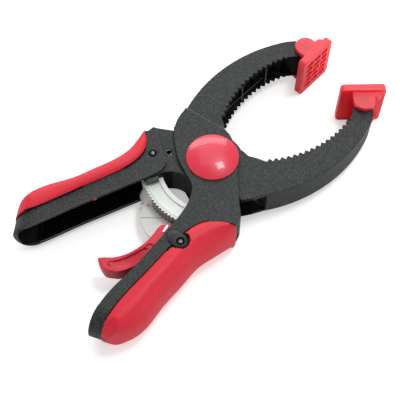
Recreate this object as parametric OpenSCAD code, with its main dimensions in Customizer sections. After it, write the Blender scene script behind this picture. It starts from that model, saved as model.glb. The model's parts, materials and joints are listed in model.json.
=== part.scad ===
// Ratcheting spring clamp, lying flat with its pads and grips on the plane z = 0.
// Plan shapes are drawn round the main pivot, jaws towards +X, and moved to the row origin at the end.

/* [Jaws] */
// Distance along X from the main pivot to the pad pins
jaw_reach = 92; // [84:1:104]
// Distance between the two pad pins with the jaws open
jaw_gape = 50; // [44:1:58]
// Farthest that a jaw's outer edge bows out from the centre line
jaw_belly = 45; // [42:0.5:50]
// Width of a jaw from outer edge to tooth tips
jaw_width = 15.6; // [13:0.2:18]
// Thickness of a jaw, across its two toothed plates
jaw_depth = 19; // [16:0.5:22]
// Thickness of each toothed plate
jaw_plate = 2.2; // [1.6:0.1:3]
// Thickness of a jaw's outer wall
jaw_wall = 3; // [2:0.1:4]
// Distance from tooth to tooth along a jaw
tooth_pitch = 3.5; // [2.5:0.1:5]
// Height of a jaw tooth
tooth_height = 1.9; // [1:0.1:2.5]
// Thickness of the zigzag ribs in a jaw's channel
rib_t = 1.5; // [1:0.1:2.5]

/* [Hub] */
// Radius of the moving arm's hub
hub_r = 17.5; // [16:0.25:19]
// Thickness of each cheek that clasps the hub
cheek_t = 2.55; // [2:0.05:3.5]
// Running gap between hub and each cheek
cheek_gap = 0.2; // [0.1:0.05:0.4]
// Radius of the main bolt
bolt_r = 4; // [3:0.1:5]
// Wall of the sleeve round the bolt
bush_wall = 1.2; // [0.8:0.1:2]
// Radius of the dome caps
cap_r = 14.5; // [12:0.25:16]
// Rise of the front dome
dome_rise = 4.5; // [3:0.1:6]

/* [Jaw spring] */
// Radius to the middle of the spring's wire
spring_r = 8.6; // [7.5:0.1:10]
// Thickness of the spring's wire
spring_wire = 1.6; // [1:0.1:2]
// Number of turns in the spring
spring_turns = 5; // [3:1:6]

/* [Handles] */
// Thickness of the soft grips, which rest on the table
grip_thick = 30; // [28:0.5:36]
// Wall of the soft grip round the handle
grip_wall = 4; // [3:0.25:5]
// Wall of the handle troughs
handle_wall = 2.5; // [2:0.1:3.5]
// Stretch of both handles along X
handle_stretch = 1; // [0.9:0.01:1.15]

/* [Pads] */
// Length of a pad's face
pad_len = 26; // [20:0.5:32]
// Height of a pad's face, which rests on the table
pad_high = 30; // [28:0.5:36]
// Thickness of a pad's plate
pad_plate = 4.5; // [3.8:0.1:5.5]
// Distance from a pad's pin to its face
pad_seat = 9.6; // [9.2:0.1:12]
// Radius of the pad pins
pad_pin_r = 1.6; // [1.2:0.1:2]
// Wall of the eye round each pad pin
pad_eye_wall = 3; // [2:0.1:3.4]
// Turn of the upper pad at rest
fixed_pad_turn = 8; // [-10:1:12]
// Turn of the lower pad at rest
moving_pad_turn = -38; // [-40:1:0]

/* [Ratchet] */
// Outer radius of the ratchet bar, at the tooth tips
bar_r = 40.3; // [38:0.1:42]
// Width of the ratchet bar
bar_width = 11.8; // [9:0.1:13]
// Thickness of the ratchet bar
bar_t = 9; // [6:0.5:11]
// Angle from one ratchet tooth to the next
bar_step = 3.2; // [2.4:0.1:5]
// Depth of the ratchet teeth
bar_tooth = 1.3; // [0.8:0.1:2]
// Thickness of the bar's side flange
flange_t = 1.5; // [1:0.1:2]
// Radius of the flange's round edge
flange_r = 28.2; // [26:0.1:28.6]

/* [Trigger] */
// Thickness of the finger lever
trigger_t = 16.4; // [12:0.2:18]
// Radius of the trigger's cross pin
trigger_pin_r = 1.5; // [1.1:0.1:1.8]
// Radius of the trigger's boss
trigger_boss_r = 4.2; // [3.5:0.1:4.4]
// Gap between pawl tip and tooth tips with the trigger at rest
pawl_gap = 0.35; // [0.2:0.05:0.6]

/* [Hidden] */
$fn = 64;

BLACK = [0.2, 0.21, 0.22];
RED = [0.82, 0.12, 0.2];
PAD_RED = [0.92, 0.2, 0.28];
OFF_WHITE = [0.88, 0.88, 0.85];
STEEL = [0.7, 0.72, 0.74];

fit = 0.05;      // radial running clearance of pins and shafts
seat = 0.1;      // gap between pieces that are assembled face to face
free = 0.3;      // gap between pieces that move past each other
over = 1;        // how far a cut runs past what it cuts

// Heights, all measured from the table
hub_half = jaw_depth / 2;
cheek_in = hub_half + cheek_gap;
cheek_out = cheek_in + cheek_t;
cap_room = 2.75;
mid_z = max(pad_high / 2, grip_thick / 2, cheek_out + cap_room);
bush_r = bolt_r + fit + bush_wall;
pad_eye_r = pad_pin_r + fit + pad_eye_wall;

// The row origin is under the middle of the whole clamp
shift_x = 1.66;
shift_y = 1.54;
module placed() { translate([shift_x, shift_y, mid_z]) children(); }
module slab(half) { translate([0, 0, -half]) linear_extrude(2 * half) children(); }
module layer(low, high) { translate([0, 0, low]) linear_extrude(high - low) children(); }
module both_faces() { children(); mirror([0, 0, 1]) children(); }

// Smooth curve through a few points, with the given number of steps between neighbours
function blend(a, b, c, d, t) =
    0.5 * (2 * b + (c - a) * t + (2 * a - 5 * b + 4 * c - d) * t * t
    + (3 * b - a - 3 * c + d) * t * t * t);
function smooth(p, steps) = concat(
    [for (i = [0:len(p) - 2], k = [0:steps - 1])
        blend(p[max(i - 1, 0)], p[i], p[i + 1], p[min(i + 2, len(p) - 1)], k / steps)],
    [p[len(p) - 1]]);
function reverse(p) = [for (i = [len(p) - 1:-1:0]) p[i]];
function stretch(p) = [for (q = p) [q[0] < -20 ? -20 + (q[0] + 20) * handle_stretch : q[0], q[1]]];
function towards(a, b) = (b - a) / max(norm(b - a), 0.001);
function polar(r, a) = [r * cos(a), r * sin(a)];
function arc(r, from, to, steps, c = [0, 0]) =
    [for (k = [0:steps]) c + polar(r, from + (to - from) * k / steps)];

// ---------------------------------------------------------------- jaws
// Both jaws are one outline, drawn for the upper jaw and mirrored for the lower one.
outer_r = 89;
outer_c = [49.5 / 92 * jaw_reach, jaw_belly - outer_r];
inner_r = 65;
inner_c = [60.8 / 92 * jaw_reach, jaw_belly - jaw_width - inner_r];
pin_at = [jaw_reach, jaw_gape / 2];
root_x = 9;
tip_x = jaw_reach - 4;
function outer_y(x, inset = 0) = outer_c[1] + sqrt(pow(outer_r - inset, 2) - pow(x - outer_c[0], 2));
function inner_angle(x) = acos((x - inner_c[0]) / inner_r);
tooth_from = inner_angle(24);
tooth_to = inner_angle(jaw_reach - 10);
tooth_step = tooth_pitch / inner_r * 180 / PI;
tooth_count = floor((tooth_from - tooth_to) / tooth_step);
tooth_edge = [for (i = [0:tooth_count - 1], k = [0:3])
    inner_c + polar(inner_r + [tooth_height, 0.35 * tooth_height, 0, 0.35 * tooth_height][k],
        tooth_from - (i + [0, 0.3, 0.5, 0.7][k]) * tooth_step)];
outer_edge = [for (k = [0:24]) let (x = root_x + (tip_x - root_x) * k / 24) [x, outer_y(x)]];
jaw_corner = pin_at + [-0.4, 8.8];
root_inner = [[17.2, 5.8], [17.6, 10.4], [20.4, 14.6]];

module jaw_outline() {
    polygon(concat(outer_edge, [jaw_corner, pin_at + polar(pad_eye_r, 28)], [pin_at + polar(pad_eye_r, 232)],
        reverse(tooth_edge), reverse(root_inner)));
    translate(pin_at) circle(pad_eye_r);
}

// Wall along the outer edge, from x = start to the tip
module jaw_outer_wall(start) {
    xs = [for (k = [0:20]) start + (tip_x - start) * k / 20];
    polygon(concat([for (x = xs) [x, outer_y(x)]], reverse([for (x = xs) [x, outer_y(x, jaw_wall)]])));
}

// Solid tip that carries the pad pin
module jaw_tip() {
    intersection() {
        jaw_outline();
        polygon([pin_at + [-11, 14], pin_at + [-11, 9], pin_at + [-7.5, -4], pin_at + [-5, -9],
            pin_at + [9, -9], pin_at + [9, 14]]);
    }
}

// Zigzag ribs between the outer wall and a line behind the teeth
rib_xs = [20, 29, 38, 47, 56, 65, 74, 82];
module rib(a, b) {
    n = [-(b - a)[1], (b - a)[0]] / norm(b - a) * rib_t / 2;
    polygon([a - n, b - n, b + n, a + n]);
}
module jaw_ribs() {
    for (i = [0:len(rib_xs) - 2]) {
        a = [rib_xs[i], outer_y(rib_xs[i], jaw_wall / 2)];
        m = (rib_xs[i] + rib_xs[i + 1]) / 2;
        b = inner_c + polar(inner_r + tooth_height + 2.4, inner_angle(m));
        c = [rib_xs[i + 1], outer_y(rib_xs[i + 1], jaw_wall / 2)];
        rib(a, b);
        rib(b, c);
    }
}

module jaw(wall_start) {
    both_faces() layer(hub_half - jaw_plate, hub_half) jaw_outline();
    slab(hub_half) jaw_outer_wall(wall_start);
    slab(hub_half) jaw_tip();
    slab(hub_half - jaw_plate / 2) intersection() { jaw_ribs(); jaw_outline(); }
}

// ---------------------------------------------------------------- handles
// Each handle is set by its rim (the open inner side), the seam where the soft grip starts
// and the grip's outer edge. Seam and outer edge have their points in pairs.
HSTEPS = 3;
fixed_seam = stretch([[-18, -39.4], [-21.5, -34], [-29.8, -27.9], [-41.9, -26.6], [-56, -29.2],
    [-70, -32], [-84, -34.5], [-96, -37.6], [-110.5, -43.2]]);
fixed_outer = stretch([[-16.6, -41.4], [-20.5, -42], [-31, -41.6], [-43, -41], [-57, -44],
    [-71, -46.8], [-84, -50.8], [-94.6, -51], [-104.6, -46.6]]);
moving_seam = stretch([[-18.9, 36.6], [-21.2, 31.3], [-27.5, 26.4], [-38, 24.6], [-52, 26.6],
    [-66, 29.6], [-80, 32.4], [-94, 35.6], [-106, 40.4]]);
moving_outer = stretch([[-17.4, 38.8], [-24.2, 37.9], [-32.7, 35.8], [-43, 36.1], [-55.2, 38.5],
    [-67.3, 41], [-80, 46.4], [-91.8, 48.2], [-104, 42]]);
fixed_rim = stretch([[-19.2, -5.1], [-22, -9], [-28, -13.4], [-36, -16.6], [-46, -19.3], [-60, -22.6],
    [-74, -25.6], [-87, -27.6], [-95, -29.4], [-103, -32.2], [-109.4, -35.2], [-114, -38]]);
moving_rim = stretch([[-26.8, 11.8], [-34, 13], [-43, 15.2], [-60, 19.2], [-77, 23.2], [-92, 26.2],
    [-101, 28.4], [-106.8, 31.2], [-110.6, 34.8], [-113, 38]]);

// Far end of each handle: its tip and the direction that the handle ends in
fixed_end = [stretch([[-109.6, -39.4]])[0], 212];
moving_end = [stretch([[-107, 38.1]])[0], 135];
END_STEPS = 16;
grip_proud = 0.4; // how far the soft grip stands out past the handle's tip
// Upright shape drawn along a handle from its tip, run right across the handle
module across(end) {
    translate([end[0][0], end[0][1], 0]) rotate(end[1]) rotate([90, 0, 0])
        translate([0, 0, -end_reach]) linear_extrude(2 * end_reach) children();
}
end_reach = 40;
// Everything outside a half oval whose tip is at the origin
module beyond(long, high) {
    polygon(concat([[-long, end_reach]],
        [for (k = [0:END_STEPS]) let (t = 90 - 180 * k / END_STEPS) [long * (cos(t) - 1), high * sin(t)]],
        [[-long, -end_reach], [end_reach, -end_reach], [end_reach, end_reach]]));
}
// Half-round wall that closes a trough whose sides are the given plan shape
module end_wall(end) {
    intersection() {
        layer(-cheek_out, cheek_out) children();
        across(end) polygon(concat(
            [[-cheek_out, end_reach], [end_reach, end_reach], [end_reach, -end_reach], [-cheek_out, -end_reach]],
            arc(cheek_in, -90, 90, END_STEPS, [-cheek_out, 0])));
    }
}

function wall_at(w) = min(grip_wall, 0.4 * w);
function corner_at(w) = min(1.5, 0.12 * w);
// Points across from seam to outer edge, held back from the outer edge by the grip's wall and more
function held_back(seam, outer, more) =
    [for (i = [0:len(seam) - 1]) let (w = norm(outer[i] - seam[i]))
        seam[i] + towards(seam[i], outer[i]) * max(w - wall_at(w) - more * min(1, w / 9), 0)];
function cheek_edge(seam, outer) =
    [for (i = [0:len(seam) - 1]) let (w = norm(outer[i] - seam[i]))
        seam[i] + towards(seam[i], outer[i]) * (w - wall_at(w) - corner_at(w))];

// Soft grip: a smooth solid, one rounded section per station, with the handle's own shape taken out
grip_half = grip_thick / 2;
SECTION = 9;
SIDES = 2 * SECTION + 1;
function grip_round(w) = 2.6 + 1.6 * max(0, 1 - w / 7);
function oval(u, p) = pow(1 - pow(min(u, 1), p), 1 / p);
function dip(u) = 0.75 * pow(max(1 - u / 0.45, 0), 2);
// full height is set so that the crown of the widest section just reaches the table
crown = sin(90 * 2 / SECTION);
full_high = (grip_half - dip(crown) * cheek_out) / (oval(crown, grip_round(20)) - dip(crown));
end_high = cheek_out + 0.9;
function grip_high(s) = end_high + (full_high - end_high) * pow(sin(180 * min(max(s, 0), 1)), 0.5);
function grip_top(u, w, high) = high * oval(u / w, grip_round(w)) - (high - cheek_out) * dip(u / w);
function section(a, b, s) =
    let (w = norm(b - a), d = towards(a, b), high = grip_high(s),
        top = [for (k = [0:SECTION]) let (u = w * sin(90 * k / SECTION)) [u, max(grip_top(u, w, high), 0)]],
        ring = concat(top, [for (k = [SECTION - 1:-1:0]) [top[k][0], -top[k][1]]]))
    [for (q = ring) [a[0] + d[0] * q[0], a[1] + d[1] * q[0], q[1]]];
module grip_solid(a, b, turned) {
    n = len(a);
    rings = [for (i = [0:n - 1]) section(a[i], b[i], i / (n - 1))];
    polyhedron(
        points = [for (r = rings, q = r) q],
        faces = [for (f = concat(
            [[for (k = [0:SIDES - 1]) k]],
            [for (i = [0:n - 2], k = [0:SIDES - 1], t = [0:1]) let (l = (k + 1) % SIDES)
                t == 0 ? [i * SIDES + k, (i + 1) * SIDES + k, i * SIDES + l]
                    : [i * SIDES + l, (i + 1) * SIDES + k, (i + 1) * SIDES + l]],
            [[for (k = [SIDES - 1:-1:0]) (n - 1) * SIDES + k]]))
            turned ? reverse(f) : f]);
}
// Plan line a little outside another, on the grip's side
function clear_of(line, seam, outer) =
    [for (i = [0:len(line) - 1]) line[i] + seat * towards(seam[i], outer[i])];
function before(seam, outer) =
    [for (i = [0:len(seam) - 1]) seam[i] - over * towards(seam[i], outer[i])];
// a point ahead of the first station, so that the core's cut clears the grip's front face
lead = 3;
function ahead(p, seam, outer) =
    let (d = towards(seam[0], outer[0]), n = [d[1], -d[0]])
    p[0] + ((outer[1] - outer[0]) * n > 0 ? -lead : lead) * n;
function led_seam(seam, outer) = let (p = before(seam, outer))
    concat([ahead(p, seam, outer)], [for (i = [1:len(p) - 1]) p[i]]);
function led(p, seam, outer) = concat([ahead(p, seam, outer)], longer(p));
module soft_grip(seam, outer, end) {
    a = smooth(seam, HSTEPS);
    b = smooth(outer, HSTEPS);
    difference() {
        grip_solid(a, b, seam[0][1] < 0);
        across(end) translate([grip_proud, 0]) beyond(grip_half - 0.6, grip_half + 0.2);
        difference() {
            union() {
                layer(-cheek_out - seat, cheek_out + seat)
                    ribbon(led_seam(a, b), led(clear_of(cheek_edge(a, b), a, b), a, b));
                layer(-cheek_in, cheek_in) ribbon(led_seam(a, b), led(clear_of(held_back(a, b, 0), a, b), a, b));
            }
            across(end) translate([seat, 0]) beyond(cheek_out + seat, cheek_out + seat);
        }
    }
}

module ribbon(a, b) { polygon(concat(a, reverse(b))); }
function longer(p) = concat([p[0] + 0.3 * (p[0] - p[1])], [for (i = [1:len(p) - 1]) p[i]]);
module handle_back(seam, outer) {
    a = smooth(seam, HSTEPS);
    b = smooth(outer, HSTEPS);
    layer(-cheek_in, cheek_in) ribbon(longer(held_back(a, b, 0)), longer(held_back(a, b, handle_wall)));
    layer(-cheek_out, cheek_out) ribbon(cheek_edge(a, b), held_back(a, b, handle_wall));
}

// ---------------------------------------------------------------- fixed arm
trigger_at = [-20 + (-45.8 + 20) * handle_stretch, -29.5];
hub_left = [[root_x, outer_y(root_x)], [1, 32.4], [-5.8, 27.1], [-10.5, 20.4], [-15.3, 11], [-17.7, 1.1],
    [-19.2, -5.1]];
hub_right = [[-10.8, -37.2], [-7, -31.5], [-3.4, -26.9], [4.9, -16], [11.5, -9.5], [14.6, -3.5],
    [17.3, 5.8], [17.4, 10.4]];
back_corner = [-10.8, -37.2];

module fixed_cheek() {
    a = smooth(fixed_seam, HSTEPS);
    b = smooth(fixed_outer, HSTEPS);
    left = smooth(concat(hub_left, [for (i = [1:len(fixed_rim) - 1]) fixed_rim[i]]), 4);
    polygon(concat(left, reverse(cheek_edge(a, b)), hub_right));
}
module fixed_root() {
    // block that joins jaw and cheeks; its left face is the stop for the moving arm's tail
    stop = [for (t = [0.3, 14.9]) [-4.6, 29.3] + t * [0.621, -0.784] + free * [0.784, 0.621]];
    polygon(concat([[root_x + 0.6, outer_y(root_x + 0.6)], [1, 32.4], [-3.4, 29]], stop,
        arc(hub_r + 0.8, 73, 32, 6), [[17.4, 10.4]]));
}
tongue = 4.4;
module fixed_arm() {
    color(BLACK) placed() difference() {
        union() {
            jaw(root_x);
            slab(cheek_out) fixed_root();
            both_faces() layer(cheek_in, cheek_out) fixed_cheek();
            handle_back(fixed_seam, fixed_outer);
            end_wall(fixed_end) fixed_cheek();
            layer(-cheek_out, cheek_out)
                ribbon([fixed_seam[0] + [0.2, 0], back_corner, hub_right[1]],
                    [fixed_seam[0] + [-0.6, 2.4], back_corner + [-1.4, 2.6], hub_right[1] + [-2.4, 0.6]]);
            both_faces() layer(cheek_out - 0.5, grip_half - 1.6) hull() {
                translate(trigger_at) circle(tongue, $fn = 32);
                translate(trigger_at + [-1, 5]) circle(tongue - 0.6, $fn = 32);
            }
        }
        across(fixed_end) beyond(cheek_out, cheek_out);
        translate([0, 0, -grip_thick]) cylinder(h = 2 * grip_thick, r = bolt_r + fit);
        translate([trigger_at[0], trigger_at[1], -grip_thick])
            cylinder(h = 2 * grip_thick, r = trigger_pin_r + fit);
        translate([pin_at[0], pin_at[1], -grip_thick]) cylinder(h = 2 * grip_thick, r = pad_pin_r + fit);
    }
}

module fixed_grip() {
    color(RED) placed() difference() {
        soft_grip(fixed_seam, fixed_outer, fixed_end);
        both_faces() layer(cheek_out - 0.4, grip_thick) union() {
            translate(trigger_at) circle(tongue + 0.4);
            rib(trigger_at, trigger_at + [-2, 9]);
            translate(trigger_at + [-5.4, 0]) square([9.4, 8]);
        }
    }
}

// ---------------------------------------------------------------- main pivot
washer_t = cheek_gap - 0.04;
cap_seat = 1.2;
module pivot_washers() {
    color(STEEL) placed() both_faces() layer(hub_half + 0.02, hub_half + 0.02 + washer_t) difference() {
        circle(hub_r - 4.5);
        circle(bolt_r + fit);
    }
}
module pivot_bolt() {
    color(STEEL) placed() {
        translate([0, 0, -cheek_out - 0.05]) cylinder(h = 2 * cheek_out + 0.1, r = bolt_r);
        translate([0, 0, cheek_out + 0.05]) cylinder(h = 2.2, r = bolt_r + 2.4);
        translate([0, 0, -cheek_out - nut_t]) cylinder(h = nut_t + over, r = stud_r);
    }
}
nut_t = 1.2;
stud_r = bolt_r - 1.5;
module pivot_nut() {
    color(STEEL) placed() translate([0, 0, -cheek_out - 0.1 - nut_t]) linear_extrude(nut_t) difference() {
        circle(bolt_r + 2.8, $fn = 6);
        circle(stud_r + fit);
    }
}
module pivot_bush() {
    color(STEEL) placed() slab(hub_half - 0.1) difference() { circle(bush_r); circle(bolt_r + fit); }
}
module dome(rise, hollow_r, hollow_h) {
    dome_r = (cap_r * cap_r + pow(rise - cap_seat, 2)) / (2 * (rise - cap_seat));
    edge = asin(cap_r / dome_r);
    rotate_extrude($fn = 96) polygon(concat([[0, hollow_h], [hollow_r, hollow_h], [hollow_r, 0], [cap_r, 0]],
        [for (k = [0:9]) [dome_r * sin(edge * (1 - k / 10)), rise - dome_r * (1 - cos(edge * (1 - k / 10)))]],
        [[0, rise]]));
}
module front_cap() {
    color(RED) placed() translate([0, 0, cheek_out + 0.02]) dome(dome_rise, bolt_r + 2.7, 2.4);
}
module rear_cap() {
    color(RED) placed() mirror([0, 0, 1]) translate([0, 0, cheek_out + 0.02])
        dome(mid_z - cheek_out - 0.3, bolt_r + 3.1, nut_t + 0.3);
}

// Wire swept along a list of points with a hexagonal section; the end runs are straight
function ring_at(p, t, r) = let (
        up = abs(t[2]) > 0.9 ? [1, 0, 0] : [0, 0, 1],
        s = cross(t, up) / norm(cross(t, up)), v = cross(s, t))
    [for (k = [0:5]) p + r * (s * cos(60 * k) + v * sin(60 * k))];
module wire(path, r) {
    n = len(path);
    rings = [for (i = [0:n - 1])
        ring_at(path[i], towards(path[max(i - 1, 0)], path[min(i + 1, n - 1)]), r)];
    polyhedron(points = [for (g = rings, q = g) q], faces = concat(
        [[for (k = [5:-1:0]) k]],
        [for (i = [0:n - 2], k = [0:5], t = [0:1]) let (l = (k + 1) % 6)
            t == 0 ? [i * 6 + k, i * 6 + l, (i + 1) * 6 + k]
                : [i * 6 + l, (i + 1) * 6 + l, (i + 1) * 6 + k]],
        [[for (k = [0:5]) (n - 1) * 6 + k]]));
}
function coil(r, pitch, turns, a0) =
    [for (i = [0:turns * 8]) [r * cos(a0 + 45 * i), r * sin(a0 + 45 * i), pitch * (i / 8 - turns / 2)]];
spring_pitch = spring_wire + 0.5;
jaw_spring_path = let (c = coil(spring_r, spring_pitch, spring_turns, 60)) concat(
    [c[0] + spring_wire * 2 * [sin(60), -cos(60), 0]], c,
    [c[len(c) - 1] + spring_wire * 2 * [-sin(60), cos(60), 0]]);
pocket_r = spring_r + spring_wire + 1.6;
pocket_half = spring_pitch * spring_turns / 2 + spring_wire / 2 + 0.3;
echo(least_gap_in_jaw_spring = spring_pitch - spring_wire);
module jaw_spring() { color(STEEL) placed() wire(jaw_spring_path, spring_wire / 2); }

// ---------------------------------------------------------------- moving arm
rivet_at = polar(bar_r - 7.2, 136);
roll_at = polar(bar_r - 15.6, 129);
tail_top = [[4.9, 17.4], [-4.6, 29.3], [-10.9, 36.6]];
tail_arch = [[-36, 15], [-31, 12.4], [-26.8, 11.4], [-23, 9.2], [-19.6, 5.6], [-18, 1.4]];
module tail_outline() {
    polygon(concat(tail_top, [[-16, 35.2], [-21, 29], [-27, 24.2], [-36, 22.4]],
        smooth(tail_arch, 3), [[-10, -4], [6, 4]]));
}
bar_eye = 3.6;
module bar_end(gap) {
    // the bar's root: a band round the pivot and an eye on the roll pin
    polygon(concat(arc(bar_r + gap, bar_from, bar_root_to, 8), arc(bar_r - bar_width - gap, bar_root_to, bar_from, 8)));
    hull() {
        translate(roll_at) circle(bar_eye + gap, $fn = 32);
        translate(polar(bar_r - bar_width + 4, 137)) circle(bar_eye + 0.4 + gap, $fn = 32);
    }
}
module moving_arm() {
    color(BLACK) placed() difference() {
        union() {
            mirror([0, 1, 0]) jaw(root_x + 0.5);
            slab(hub_half) circle(hub_r);
            mirror([0, 1, 0]) both_faces() layer(hub_half - jaw_plate, hub_half)
                polygon(concat([[root_x + 0.2, outer_y(root_x + 0.2)], [2, 32.6], [-4, 29.6]],
                    arc(hub_r - 1, 98, 12, 8), [[17.2, 5.8]], [[17.6, 10.4]]));
            slab(hub_half) tail_outline();
        }
        translate([0, 0, -jaw_depth]) cylinder(h = 2 * jaw_depth, r = bush_r + fit);
        translate([0, 0, -pocket_half]) cylinder(h = 2 * pocket_half, r = pocket_r);
        layer(-bar_t / 2 - seat, bar_t / 2 + seat) bar_end(seat);
        translate([rivet_at[0], rivet_at[1], -jaw_depth]) cylinder(h = 2 * jaw_depth, r = pin_hole_r);
        translate([roll_at[0], roll_at[1], -jaw_depth]) cylinder(h = 2 * jaw_depth, r = pin_hole_r);
        translate([pin_at[0], -pin_at[1], -jaw_depth]) cylinder(h = 2 * jaw_depth, r = pad_pin_r + fit);
    }
}
pin_r = 2;
pin_hole_r = pin_r + 0.03;

cheek_nose = [[-16.6, 36.6], [-12.8, 36.8]];
cheek_front = [[-11.6, 34.6], [-15.2, 28.5], [-18, 22.3], [-19.6, 17.1], [-22.2, 13.6], [-26.8, 11.8]];
module handle_cheek() {
    a = smooth(moving_seam, HSTEPS);
    b = smooth(moving_outer, HSTEPS);
    rim = smooth(moving_rim, 4);
    polygon(concat(smooth(cheek_front, 3), [for (i = [1:len(rim) - 1]) rim[i]], reverse(cheek_edge(a, b)),
        cheek_nose));
}
module handle_shell() {
    color(BLACK) placed() difference() {
        union() {
            both_faces() layer(cheek_in, cheek_out) handle_cheek();
            difference() {
                handle_back(moving_seam, moving_outer);
                slab(hub_half + seat) offset(delta = seat) tail_outline();
            }
            end_wall(moving_end) handle_cheek();
        }
        across(moving_end) beyond(cheek_out, cheek_out);
        translate([rivet_at[0], rivet_at[1], -grip_thick]) cylinder(h = 2 * grip_thick, r = pin_hole_r);
    }
}
module handle_grip() { color(RED) placed() soft_grip(moving_seam, moving_outer, moving_end); }

module handle_rivet() {
    color(STEEL) placed() translate([rivet_at[0], rivet_at[1], 0]) {
        slab(cheek_out + 0.1) circle(pin_r);
        both_faces() translate([0, 0, cheek_out + 0.02]) cylinder(h = 0.7, r1 = pin_r + 0.6, r2 = pin_r);
    }
}
module bar_pin() {
    color(STEEL) placed() translate([roll_at[0], roll_at[1], 0]) slab(hub_half) difference() {
        circle(pin_r);
        circle(pin_r - 0.7);
        translate([0, -0.2]) square([pin_r + 1, 0.4]);
    }
}

// ---------------------------------------------------------------- ratchet
bar_from = 131;
bar_root_to = 160;
teeth_from = 151;
bar_to = 222;
flange_c = [-24.2, -10.9];
flange_from = 156;
flange_to = 197;
web_from = 160;
web_to = 171;
bar_teeth = floor((bar_to - teeth_from) / bar_step);
bar_edge = [for (i = [0:bar_teeth - 1], k = [0:1])
    polar(k == 0 ? bar_r - bar_tooth : bar_r, teeth_from + (i + [0, 0.12][k]) * bar_step)];
// Side plate under the teeth; it passes inside the trigger's pin when the handles close
module flange_outline() {
    offset(r = 3) offset(delta = -3) difference() {
        intersection() {
            translate(flange_c) circle(flange_r);
            circle(norm(trigger_at) - trigger_pin_r - free);
            polygon([[0, 0], polar(90, flange_from), polar(90, flange_to)]);
        }
        circle(bar_r - bar_width + 1.5);
    }
}
// Web that stiffens the root of the side plate
module flange_web() {
    web_arc = [for (k = [0:4]) web_from + (web_to - web_from) * k / 4];
    inner = [for (a = web_arc) polar(bar_r - bar_width / 2, a)];
    hull() {
        layer(-bar_t / 2 - flange_t, bar_t / 2 - 0.9)
            polygon(concat(inner, reverse([for (a = web_arc) polar(bar_r - 0.8, a)])));
        layer(-bar_t / 2 - flange_t, -bar_t / 2)
            polygon(concat(inner, reverse([for (a = web_arc) polar(bar_r + 3, a)])));
    }
}
module ratchet_bar() {
    color(OFF_WHITE) placed() difference() {
        union() {
            slab(bar_t / 2) {
                bar_end(0);
                polygon(concat(arc(bar_r - 0.4, bar_from, teeth_from - 1, 6), bar_edge,
                    [polar(bar_r - bar_tooth, bar_to)], arc(bar_r - bar_width, bar_to, bar_from, 28)));
            }
            difference() {
                union() {
                    layer(-bar_t / 2 - flange_t, -bar_t / 2) flange_outline();
                    layer(-bar_t / 2 - flange_t, 0) intersection() {
                        flange_outline();
                        circle(bar_r - bar_tooth - 0.2);
                    }
                    flange_web();
                }
                slab(bar_t) offset(delta = seat) tail_outline();
            }
        }
        // wide channel along the top face, between the teeth and the inner rim
        layer(bar_t / 2 - 1, bar_t) polygon(concat(arc(bar_r - 3.2, 154, bar_to + 4, 16),
            arc(bar_r - bar_width + 2.6, bar_to + 4, 154, 16)));
        for (at = [rivet_at, roll_at])
            translate([at[0], at[1], -jaw_depth]) cylinder(h = 2 * jaw_depth, r = pin_hole_r);
    }
}
module bar_guide() {
    // block on the bar, against the lower edge of the tail
    color(BLACK) placed() layer(bar_t / 2 + seat, hub_half - 0.6) difference() {
        intersection() {
            difference() { circle(bar_r - 1.6); circle(bar_r - bar_width + 2.8); }
            polygon([[0, 0], polar(60, 154), polar(60, 161.4)]);
        }
        offset(delta = seat) tail_outline();
    }
}

// ---------------------------------------------------------------- trigger
lever_low = -bar_t / 2 + free;
lever_top = trigger_t / 2;
lever_step = 12; // from the cross pin to where the lever is full thickness
finger_edge = stretch([[-84.2, -7.4], [-81, -10.2], [-77.6, -12.9], [-71.6, -15.4], [-64.6, -16.4],
    [-57.4, -16], [-52.4, -14.8], [-48.6, -13.6], [-45.4, -13.8], [-44, -16.2]]);
finger_under = stretch([[-50.8, -29.6], [-58, -28.4], [-68, -27.2], [-77, -25.8], [-82.4, -23.8], [-85.8, -19.4],
    [-86, -14], [-85.2, -8.6]]);
module lever_outline() {
    polygon(concat(smooth(finger_edge, 3), [polar(bar_r + 3.4, 203), trigger_at + [4.1, 1], trigger_at + [0, -4]],
        smooth(finger_under, 3)));
    translate(trigger_at) circle(trigger_boss_r);
}
pawl_tip = polar(bar_r + pawl_gap, 204.5);
pawl_half = 3;
module pawl_outline() {
    polygon([trigger_at + [-4.2, 11.6], trigger_at + [-0.6, 13.9], pawl_tip + [-2.2, 2.4], pawl_tip,
        pawl_tip + [-2.2, -2.6], trigger_at + [0.4, 8]]);
}
pawl_pin_at = trigger_at + [-1.2, 11];
spring_pocket = 5.2;
module trigger() {
    color(RED) placed() difference() {
        union() {
            intersection() {
                layer(-lever_top, lever_top) lever_outline();
                translate([-150, -60, -20]) cube([150 + trigger_at[0] - lever_step, 60, 40]);
            }
            layer(lever_low, lever_top) lever_outline();
        }
        // raised rim round a sunk panel on each face
        both_faces() layer(lever_top - 1, lever_top + 1) polygon(smooth(stretch([[-80, -15.4], [-73, -18.2],
            [-65, -18.8], [-58, -18.2], [-57.4, -23.6], [-66, -24.6], [-76, -22.8], [-80.6, -19.6], [-80, -15.4]]), 3));
        slab(pawl_half + 0.05) pawl_outline();
        translate([pawl_pin_at[0], pawl_pin_at[1], -5]) cylinder(h = 10, r = pawl_pin_r + 0.02);
        translate([trigger_at[0], trigger_at[1], -grip_thick]) cylinder(h = 2 * grip_thick, r = trigger_pin_r + fit);
        translate([trigger_at[0], trigger_at[1], lever_top - spring_pocket])
            cylinder(h = spring_pocket + 1, r = trigger_boss_r - 0.9);
    }
}
pawl_pin_r = 1;
module pawl() {
    color(STEEL) placed() slab(pawl_half) difference() {
        pawl_outline();
        translate(pawl_pin_at) circle(pawl_pin_r + 0.02);
    }
}
module pawl_pin() {
    color(STEEL) placed() translate([pawl_pin_at[0], pawl_pin_at[1], -4.4]) cylinder(h = 9, r = pawl_pin_r);
}
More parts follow.
